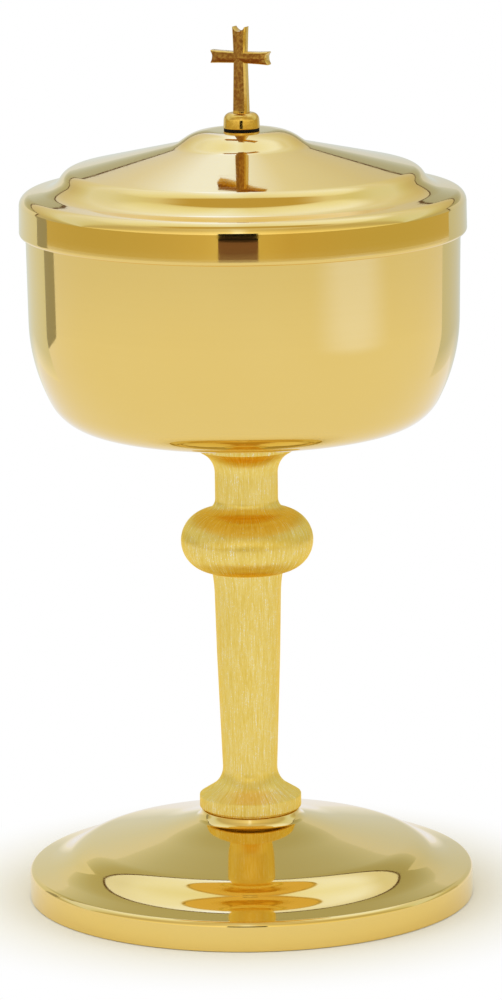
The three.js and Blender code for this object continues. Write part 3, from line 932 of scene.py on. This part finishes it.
@dataclass
class Lid:
    """The spun lid, with its heights above the cup's lip. `RING` is its ring's place in the outline."""

    RING: ClassVar[int] = 5

    lip: float = 188.9
    band_inside: float = 58.05
    sheet: float = 1.25
    band_drop: float = 8.55
    band_taper: float = 0.15
    band_round: float = 1.1
    land_width: float = 3.2
    ring_rise: float = 2.1
    ring_round: float = 3.1
    cove_setback: float = 9.0
    cove_rise: float = 3.55
    cove_round: float = 7.2
    shoulder_setback: float = 12.35
    shoulder_rise: float = 8.3
    shoulder_round: float = 4.5
    cone_top_radius: float = 17.75
    cone_top_rise: float = 14.8
    cone_top_round: float = 7.5
    crown_radius: float = 12.1
    crown_round: float = 12.0
    rise: float = 18.75
    bore: float = 2.3

    @property
    def crown(self) -> float:
        """Level of the flat crown that carries the finial."""
        return self.lip + self.rise

    @property
    def band_radius(self) -> float:
        """Outer radius at the foot of the rim band."""
        return self.band_inside + self.sheet

    def outline(self) -> Outline:
        """Returns the upper side's corners, from the stud's hole to the foot of the band."""
        band = self.band_radius
        return [
            Corner(self.bore, self.crown),
            Corner(self.crown_radius, self.crown, self.crown_round),
            Corner(self.cone_top_radius, self.lip + self.cone_top_rise, self.cone_top_round),
            Corner(band - self.shoulder_setback, self.lip + self.shoulder_rise, self.shoulder_round),
            Corner(band - self.cove_setback, self.lip + self.cove_rise, self.cove_round),
            Corner(band - self.band_taper, self.lip + self.ring_rise, self.ring_round),
            Corner(band, self.lip - self.band_drop, self.band_round),
            Corner(self.band_inside, self.lip - self.band_drop),
        ]

    def build(self) -> Object:
        """Returns the lid with the flat land that bears on the cup's lip."""
        outer = self.outline()
        under = offset_outline(outer, -self.sheet)
        cove, ring = under[self.RING - 1], under[self.RING]
        land = self.band_inside - self.land_width
        share = (land - cove.radius) / (ring.radius - cove.radius)
        wall_top = Corner(land, cove.height + share * (ring.height - cove.height))
        bearing = [Corner(self.band_inside, self.lip), Corner(land, self.lip), wall_top]
        loop = [*outer, *bearing, *reversed(under[: self.RING])]
        return Bench.turned("lid_spun", loop, Smoothness.SHELL)

    def dress(self) -> None:
        """Builds the lid and puts it in place."""
        hand_over(self.build(), Body.LID, Slot.POLISHED, PolishedGold(), "lid_shell")


@dataclass
class Finial:
    """The cross and its round boss, one casting, and the washer under it."""

    level: float = 208.1
    turn: float = math.radians(-25)
    boss_radius: float = 4.85
    boss_top_radius: float = 4.6
    boss_height: float = 4.1
    boss_round: float = 1.9
    boss_foot_round: float = 0.25
    stud_hole: float = 2.3
    stud_depth: float = 3.1
    height: float = 22.7
    sink: float = 0.6
    span: float = 16.4
    arm_height: float = 14.6
    side_depth: float = 2.8
    ridge: float = 0.65
    waist_width: float = 3.2
    foot_width: float = 4.0
    top_width: float = 3.9
    arm_width: float = 2.9
    arm_end_width: float = 3.5
    hip_length: float = 2.2
    tip: float = 0.25
    arm_notch: float = 0.6
    top_notch: float = 1.2
    cutter_length: float = 8.4
    edge_round: float = 0.55
    edge_segments: int = 4
    bevel: float = 0.11
    bevel_angle: float = 0.45
    washer_radius: float = 4.7
    washer_height: float = 0.45
    washer_round: float = 0.06

    @property
    def cross_level(self) -> float:
        """Level of the boss's top, where the cross stands."""
        return self.level + self.boss_height

    def bar(self, name: str, widths: dict[float, float], flat: Sequence[float]) -> Object:
        """Models one bar of the cross along Z, with a ridge on its front and its back.

        Args:
            name: name of the bar.
            widths: its width at each place along it, in millimetres and in order.
            flat: the places without a ridge.

        Returns:
            The bar, in object mode.
        """
        first, *inner, last = widths
        length = last - first
        bpy.ops.mesh.primitive_cube_add(
            size=1,
            location=(0, 0, (first + length / 2) * MM),
            scale=(MM, self.side_depth * MM, length * MM),
        )
        piece = bpy.context.object
        piece.name = name
        Bench.settle(piece)
        bpy.ops.object.mode_set(mode="EDIT")
        for along in inner:
            self.cut((0, 0, along * MM), (0, 0, 1))
        self.cut((0, 0, 0), (1, 0, 0))
        for along, width in widths.items():
            level = along * MM
            rise = 0 if along in flat else self.ridge * MM
            Bench.pick(piece, lambda vertex: abs(vertex.co.z - level) < Bench.WELD)
            bpy.ops.transform.resize(value=(width, 1, 1), center_override=(0, 0, level))
            for side in (-1, 1):
                ridge = Vector((0, side * self.side_depth / 2 * MM, level))
                Bench.pick(piece, lambda vertex: (vertex.co - ridge).length < Bench.WELD)
                bpy.ops.transform.translate(value=(0, side * rise, 0))
        for side in (-1, 1):
            for front in (-1, 1):
                Bench.pick(piece, lambda vertex: vertex.co.x * side > Bench.WELD and vertex.co.y * front > 0)
                bpy.ops.mesh.bevel(offset=self.edge_round * MM, segments=self.edge_segments, affect="EDGES")
        bpy.ops.object.mode_set(mode="OBJECT")
        return piece

    @staticmethod
    def cut(place: Place, normal: Place) -> None:
        """Bisects the whole edited mesh with a plane."""
        bpy.ops.mesh.select_all(action="SELECT")
        bpy.ops.mesh.bisect(plane_co=place, plane_no=normal)

    def notch(self, piece: Object, end: Vector, outwards: Vector, width: float, depth: float) -> None:
        """Hollows one end of the cross with a round cutter.

        Args:
            piece: the cross.
            end: middle of that end, in millimetres.
            outwards: direction away from the cross.
            width: width of the end.
            depth: depth of the hollow.
        """
        half = width / 2 - self.tip
        radius = (half**2 + depth**2) / (2 * depth)
        place = (end + outwards * (radius - depth)) * MM
        bpy.ops.mesh.primitive_cylinder_add(
            vertices=Smoothness.NOTCH.value,
            radius=radius * MM,
            depth=self.cutter_length * MM,
            location=place,
            rotation=(math.pi / 2, 0, 0),
        )
        tool = bpy.context.object
        Bench.settle(tool)
        Bench.combine(piece, tool, "DIFFERENCE")

    def build_cross(self) -> Object:
        """Returns the cross with its ends hollowed and its edges eased."""
        arm_level = self.cross_level + self.arm_height
        top = self.cross_level + self.height
        half = self.span / 2
        widths = {
            self.cross_level - self.sink: self.foot_width,
            arm_level: self.waist_width,
            top - self.hip_length: self.top_width - self.tip,
            top: self.top_width,
        }
        upright = self.bar("cross_cast", widths, (top,))
        end, hip, hip_width = self.arm_end_width, half - self.hip_length, self.arm_end_width - self.tip
        widths = {-half: end, -hip: hip_width, 0: self.arm_width, hip: hip_width, half: end}
        arms = self.bar("cross_arms", widths, (-half, half))
        arms.rotation_euler.y = math.pi / 2
        arms.location.z = arm_level * MM
        Bench.settle(arms)
        Bench.combine(upright, arms, "UNION")
        for side in (-1, 1):
            end = Vector((side * half, 0, arm_level))
            self.notch(upright, end, Vector((side, 0, 0)), self.arm_end_width, self.arm_notch)
        self.notch(upright, Vector((0, 0, top)), Vector((0, 0, 1)), self.top_width, self.top_notch)
        angle = {"limit_method": "ANGLE", "angle_limit": self.bevel_angle}
        Bench.modifier(upright, "BEVEL", width=self.bevel * MM, segments=2, **angle)
        return upright

    def build(self) -> Object:
        """Returns the whole casting, turned on the lid as in use."""
        hole_end = self.level + self.stud_depth
        boss = Bench.turned(
            "finial_boss",
            [
                Corner(0.0, hole_end),
                Corner(self.stud_hole, hole_end),
                Corner(self.stud_hole, self.level),
                Corner(self.boss_radius, self.level, self.boss_foot_round),
                Corner(self.boss_top_radius, self.cross_level, self.boss_round),
                Corner(0.0, self.cross_level),
            ],
            Smoothness.SMALL,
            closed=False,
        )
        cross = self.build_cross()
        Bench.combine(cross, boss, "UNION")
        cross.rotation_euler.z = self.turn
        return Bench.finish(cross)

    def build_washer(self) -> Object:
        """Returns the thin washer under the boss."""
        bottom = self.level - self.washer_height
        return Bench.turned(
            "washer_fibre",
            [
                Corner(self.stud_hole, bottom),
                Corner(self.washer_radius, bottom, self.washer_round),
                Corner(self.washer_radius, self.level, self.washer_round),
                Corner(self.stud_hole, self.level),
            ],
            Smoothness.SMALL,
        )

    def dress(self) -> None:
        """Builds the casting and its washer and puts them in place."""
        hand_over(self.build(), Body.LID, Slot.CAST, CastGold(), "cross_finial")
        hand_over(self.build_washer(), Body.LID, Slot.FIBRE, Fibre(), "finial_washer")


@dataclass
class Fixings:
    """The screws, nuts and washers inside the lid and under the foot."""

    brass: TurnedMetal = TurnedMetal()
    zinc: TurnedMetal = TurnedMetal("zinc_plate", (0.56, 0.57, 0.58), (0.44, 0.45, 0.47), 0.28, 0.003)

    def dress(self) -> None:
        """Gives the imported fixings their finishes."""
        for name in ("finial_stud", "lid_backing_washer", "lid_nut", "bowl_boss"):
            self.brass.dress(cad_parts[name])
        for name in ("tie_rod", "base_washer", "lock_washer", "base_nut"):
            self.zinc.dress(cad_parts[name])
        LOG.info("fixings dressed in brass and zinc")


# The studio


def mirrored_only(piece: Object) -> None:
    """Lets only glossy rays see a piece."""
    piece.visible_camera = False
    piece.visible_diffuse = False
    piece.visible_shadow = False
    piece.visible_transmission = False


def glowing(
    name: str,
    tone: Callable[[NodeGraph], Input],
    share: Callable[[NodeGraph], Input] | None = None,
) -> Material:
    """Makes a glowing paper that lights nothing by itself.

    Args:
        name: name of the material.
        tone: lays out the paper's colour.
        share: lays out how fully the paper covers what is behind it, fully where it isn't given.

    Returns:
        The material.
    """
    material, graph = new_material(name)
    material.cycles.emission_sampling = "NONE"
    paper = graph.add("ShaderNodeEmission", {"Color": tone(graph)})
    if share is not None:
        paper = graph.cover(share(graph), graph.add("ShaderNodeBsdfTransparent"), paper)
    graph.output(paper)
    return material


@dataclass(frozen=True)
class SoftLight:
    """A square soft light: place and side in metres, and its brightness seen from the front."""

    name: str
    place: Place
    side: float
    brightness: float
    target: Place = (0.0, 0.0, 0.12)

    def add(self) -> None:
        """Adds the light, aimed at the object's middle. No mirror shows it."""
        bpy.ops.object.light_add(type="AREA", location=self.place)
        lamp = bpy.context.object
        lamp.name = self.name
        lamp.data.shape = "SQUARE"
        lamp.data.size = self.side
        lamp.data.energy = self.brightness * math.pi * self.side**2
        aim = Vector(self.target) - Vector(self.place)
        lamp.rotation_euler = aim.to_track_quat("-Z", "Y").to_euler()
        lamp.visible_camera = False
        lamp.visible_glossy = False


@dataclass(frozen=True)
class Card:
    """A flat card that only the mirrors show.

    Its middle and its two sides are in metres. It stands or lies level. `soft` is the share of its
    sides over which it fades.
    """

    name: str
    place: Place
    sides: Span
    upright: bool
    tone: Color
    soft: float = 0.0

    def share(self, graph: NodeGraph) -> Socket:
        """Lays out how fully the card covers what is behind it, less towards its edges."""
        parts = graph.parts(graph.object_place())[:2]
        inside = [graph.spread(graph.math("ABSOLUTE", part), (0.5 - self.soft, 0.5), FALLING) for part in parts]
        return graph.math("MULTIPLY", *inside)

    def material(self) -> Material:
        """Returns the card's evenly glowing paper."""
        return glowing(f"{self.name}_paper", lambda _: (*self.tone, 1), self.share if self.soft else None)

    def add(self) -> None:
        """Adds the card."""
        turn = (math.pi / 2 if self.upright else 0, 0, 0)
        bpy.ops.mesh.primitive_plane_add(size=1, location=self.place, rotation=turn)
        card = bpy.context.object
        card.name = self.name
        card.scale = (*self.sides, 1)
        card.data.materials.append(self.material())
        mirrored_only(card)


@dataclass(frozen=True)
class Screen(Card):
    """Dark cloth behind the camera, which the mirrors show as a small black patch over a brown hem."""

    name: str = "dark_screen"
    place: Place = (-0.07, -1.6, 0.1)
    sides: Span = (0.56, 0.8)
    upright: bool = True
    tone: Color = (0.008, 0.008, 0.008)
    hem_tone: Color = (0.24, 0.13, 0.1)
    hem: Span = (-0.127, -0.114)
    roughness: float = 0.9
    shine: float = 0.1

    def material(self) -> Material:
        """Returns the matt cloth."""
        material, graph = new_material("screen_black")
        up = graph.parts(graph.object_place())["Y"]
        cloth = graph.blend(graph.spread(up, self.hem), self.hem_tone, self.tone)
        graph.output(graph.surface(cloth, self.roughness, {"Specular IOR Level": self.shine}, metal=0.0))
        return material


@dataclass(frozen=True)
class LightBox:
    """A low paper box behind the object, in metres, open to the front, that only the mirrors show.

    Its tones go by share of the height on the walls and by share of the depth on the roof.
    """

    width: float = 0.62
    height: float = 0.265
    front: float = 0.2
    depth: float = 0.3
    wall_tones: Stops = (
        (0.0, (0.88, 0.88, 0.82)),
        (0.2, (0.69, 0.72, 0.66)),
        (0.6, (0.69, 0.73, 0.69)),
        (1.0, (0.75, 0.77, 0.74)),
    )
    roof_tones: Stops = (
        (0.0, (0.46, 0.47, 0.35)),
        (0.3, (0.49, 0.5, 0.38)),
        (0.6, (0.54, 0.57, 0.48)),
        (1.0, (0.66, 0.69, 0.62)),
    )
    side_shares: Span = (1.06, 0.92)
    margin: float = 0.014
    margin_fade: Span = (0.16, 0.21)
    margin_tone: Color = (0.11, 0.06, 0.03)

    def tone(self, graph: NodeGraph) -> Socket:
        """Lays out the paper's tone: darker towards the right, with a dark margin along the front edges."""
        parts = graph.parts(graph.object_place())
        walls = graph.ramp(graph.math("DIVIDE", parts["Z"], self.height), self.wall_tones)
        back = graph.math("DIVIDE", graph.math("SUBTRACT", parts["Y"], self.front), self.depth)
        on_roof = graph.math("GREATER_THAN", parts["Z"], self.height - MM)
        tone = graph.blend(on_roof, walls, graph.ramp(back, self.roof_tones))
        margin = graph.math("LESS_THAN", parts["Y"], self.front + self.margin)
        margin = graph.math("MULTIPLY", margin, graph.spread(parts["Z"], self.margin_fade))
        tone = graph.blend(margin, tone, self.margin_tone)
        return graph.scaled(tone, graph.spread(parts["X"], (-self.width / 2, self.width / 2), self.side_shares))

    def add(self) -> None:
        """Adds the box without its front and its floor."""
        middle = (0, self.front + self.depth / 2, self.height / 2)
        bpy.ops.mesh.primitive_cube_add(size=1, location=middle, scale=(self.width, self.depth, self.height))
        box = bpy.context.object
        box.name = "light_box"
        Bench.settle(box)
        bpy.ops.object.mode_set(mode="EDIT")
        for test in (lambda vertex: vertex.co.y < self.front + MM, lambda vertex: vertex.co.z < MM):
            Bench.pick(box, test)
            bpy.ops.mesh.delete(type="ONLY_FACE")
        bpy.ops.mesh.select_all(action="SELECT")
        bpy.ops.mesh.delete_loose(use_verts=False, use_edges=True, use_faces=False)
        box.data.materials.append(glowing("box_paper", self.tone))
        Bench.finish(box)
        mirrored_only(box)


@dataclass(frozen=True)
class Floor:
    """Pale floor, in metres, that takes shadows near the object and fades to white further off."""

    radius: float = 1.25
    facets: int = 160
    drop: float = 0.0002
    color: Color = (0.94, 0.945, 0.89)
    grain_scale: float = 900.0
    grain_share: float = 0.97
    roughness: float = 0.9
    fade: Span = (0.058, 0.1)
    glow: Color = (0.88, 0.88, 0.9)
    bright_glow: Color = (0.95, 1.02, 1.5)
    bright_place: Place = (0.84, -0.52, 0.0)
    bright_reach: Span = (0.1, 0.42)
    far: Span = (0.8, 1.1)
    far_share: float = 0.9

    def material(self) -> Material:
        """Lays out paper near the object, and further off a glow for the camera and the mirrors."""
        material, graph = new_material("floor_pale")
        place = graph.object_place()
        shade = tuple(self.grain_share * part for part in self.color)
        color = graph.blend(graph.noise(place, self.grain_scale, *COARSE), self.color, shade)
        paper = graph.surface(color, self.roughness, {"Specular IOR Level": 0.0}, metal=0.0)
        away = graph.vector("LENGTH", place)
        ray = graph.add("ShaderNodeLightPath").outputs
        seen = graph.math("MAXIMUM", ray["Is Camera Ray"], ray["Is Glossy Ray"])
        share = graph.math("MULTIPLY", graph.spread(away, self.fade), seen)
        near = graph.spread(graph.vector("DISTANCE", place, self.bright_place), self.bright_reach, FALLING)
        glow = graph.blend(near, self.glow, self.bright_glow)
        glow = graph.scaled(glow, graph.spread(away, self.far, (1.0, self.far_share)))
        white = graph.add("ShaderNodeEmission", {"Color": graph.blend(ray["Is Glossy Ray"], WHITE, glow)})
        graph.output(graph.cover(share, paper, white))
        return material

    def add(self) -> None:
        """Adds the floor."""
        bpy.ops.mesh.primitive_circle_add(vertices=self.facets, radius=self.radius, fill_type="NGON")
        floor = bpy.context.object
        floor.name = "floor"
        floor.location.z = -self.drop
        floor.data.materials.append(self.material())


@dataclass(frozen=True)
class Surround:
    """The world: white for the camera, plain air for matt surfaces, and soft tones in the mirrors.

    `sky` goes by the angle over the horizon, from straight behind the object, over it, to the front.
    The two side ramps go from left to right, for low and for high directions.
    """

    air: Color = (0.79, 0.765, 0.705)
    ground: Color = (0.74, 0.62, 0.3)
    horizon: Span = (-0.012, 0.0)
    sky: Stops = (
        (0.0, (0.7, 0.7, 0.66)),
        (0.08, (0.68, 0.67, 0.62)),
        (0.139, (0.78, 0.77, 0.66)),
        (0.194, (0.87, 0.93, 0.95)),
        (0.25, (0.98, 1.12, 1.6)),
        (0.36, (0.98, 1.12, 1.6)),
        (0.5, (0.93, 1.02, 1.15)),
        (0.58, (0.8, 0.79, 0.74)),
        (0.66, (0.72, 0.68, 0.6)),
        (0.8, (0.82, 0.77, 0.64)),
        (0.88, (1.06, 1.02, 0.86)),
        (1.0, (1.3, 1.26, 1.1)),
    )
    low_side: Stops = (
        (0.0, (0.8, 0.8, 0.74)),
        (0.2, (0.86, 0.84, 0.78)),
        (0.33, (0.92, 0.9, 0.84)),
        (0.445, (1.03, 1.05, 1.12)),
        (0.468, (1.17, 1.3, 1.9)),
        (0.488, (1.17, 1.3, 1.9)),
        (0.525, (0.98, 0.95, 0.87)),
        (0.56, (0.92, 0.9, 0.78)),
        (0.7, (0.84, 0.78, 0.6)),
        (1.0, (0.79, 0.8, 0.7)),
    )
    high_side: Stops = (
        (0.0, (0.9, 0.9, 0.9)),
        (0.4, (1.0, 1.0, 0.98)),
        (0.47, (1.03, 1.1, 1.4)),
        (0.52, (0.98, 0.98, 0.98)),
        (0.66, (1.04, 1.07, 1.2)),
        (1.0, (0.98, 0.98, 0.98)),
    )
    high_range: Span = (0.7, 0.82)

    def add(self) -> None:
        """Sets the world."""
        world = bpy.data.worlds.new("surround")
        world.use_nodes = True
        bpy.context.scene.world = world
        graph = NodeGraph(world.node_tree)
        parts = graph.parts(graph.add("ShaderNodeTexCoord").outputs["Generated"])
        over = graph.math("DIVIDE", graph.math("ARCTAN2", parts["Z"], parts["Y"]), math.pi)
        tone = graph.blend(graph.spread(parts["Z"], self.horizon), self.ground, graph.ramp(over, self.sky))
        across = graph.math("ADD", graph.math("MULTIPLY", parts["X"], 0.5), 0.5)
        low, high = (graph.ramp(across, stops) for stops in (self.low_side, self.high_side))
        side = graph.blend(graph.spread(parts["Z"], self.high_range), low, high)
        ray = graph.add("ShaderNodeLightPath").outputs
        color = graph.blend(ray["Is Glossy Ray"], self.air, graph.vector("MULTIPLY", tone, side))
        color = graph.blend(ray["Is Camera Ray"], color, WHITE)
        back = graph.add("ShaderNodeBackground", {"Color": color})
        graph.add("ShaderNodeOutputWorld", {"Surface": back.outputs[0]})


@dataclass(frozen=True)
class Camera:
    """The camera fitted to the picture: place in metres, pitch and roll in radians, lens in millimetres."""

    place: Place = (0.00118, -1.4141, 0.3966)
    pitch: float = 0.2014
    roll: float = 0.0132
    lens: float = 194.3
    sensor: float = 36.0
    clip: float = 0.01

    def add(self) -> None:
        """Adds the camera and makes it the scene's own."""
        ahead = Vector((0, math.cos(self.pitch), -math.sin(self.pitch)))
        level = Vector((1, 0, 0))
        up = level.cross(ahead) * math.cos(self.roll) + level * math.sin(self.roll)
        bpy.ops.object.camera_add(location=self.place)
        camera = bpy.context.object
        camera.rotation_euler = Matrix((ahead.cross(up), up, -ahead)).transposed().to_euler()
        camera.data.lens = self.lens
        camera.data.sensor_width = self.sensor
        camera.data.clip_start = self.clip
        bpy.context.scene.camera = camera


@dataclass(frozen=True)
class Studio:
    """The surround, the floor, what the mirrors show, the soft lights and the camera."""

    pieces: tuple[Surround | Floor | Card | LightBox | SoftLight | Camera, ...] = (
        Surround(),
        Floor(),
        Screen(),
        LightBox(),
        Card("grey_card", (-0.425, 0.25, 0.125), (0.23, 0.15), True, (0.36, 0.36, 0.32)),
        Card("tan_card", (0.0, -0.145, 0.45), (0.46, 0.13), False, (0.58, 0.46, 0.19), 0.24),
        SoftLight("overhead_soft_light", (-0.1, -0.15, 1.3), 0.82, 1.6),
        SoftLight("left_soft_light", (-1.25, -0.3, 0.85), 0.5, 1.6),
        SoftLight("right_soft_light", (1.25, -0.3, 0.8), 0.5, 1.4),
        Camera(),
    )

    def build(self) -> None:
        """Sets the studio up."""
        for piece in self.pieces:
            piece.add()
        bpy.context.scene.view_settings.view_transform = "Standard"
        LOG.info("studio set with %d pieces", len(self.pieces))


def main() -> None:
    """Builds every sub-assembly in order, then the studio."""
    logging.basicConfig(level=logging.INFO, format="%(name)s: %(message)s")
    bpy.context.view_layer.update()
    for assembly in (Foot(), Stem(), Cup(), Lid(), Finial(), Fixings()):
        assembly.dress()
    Studio().build()


if __name__ == "__main__":
    main()
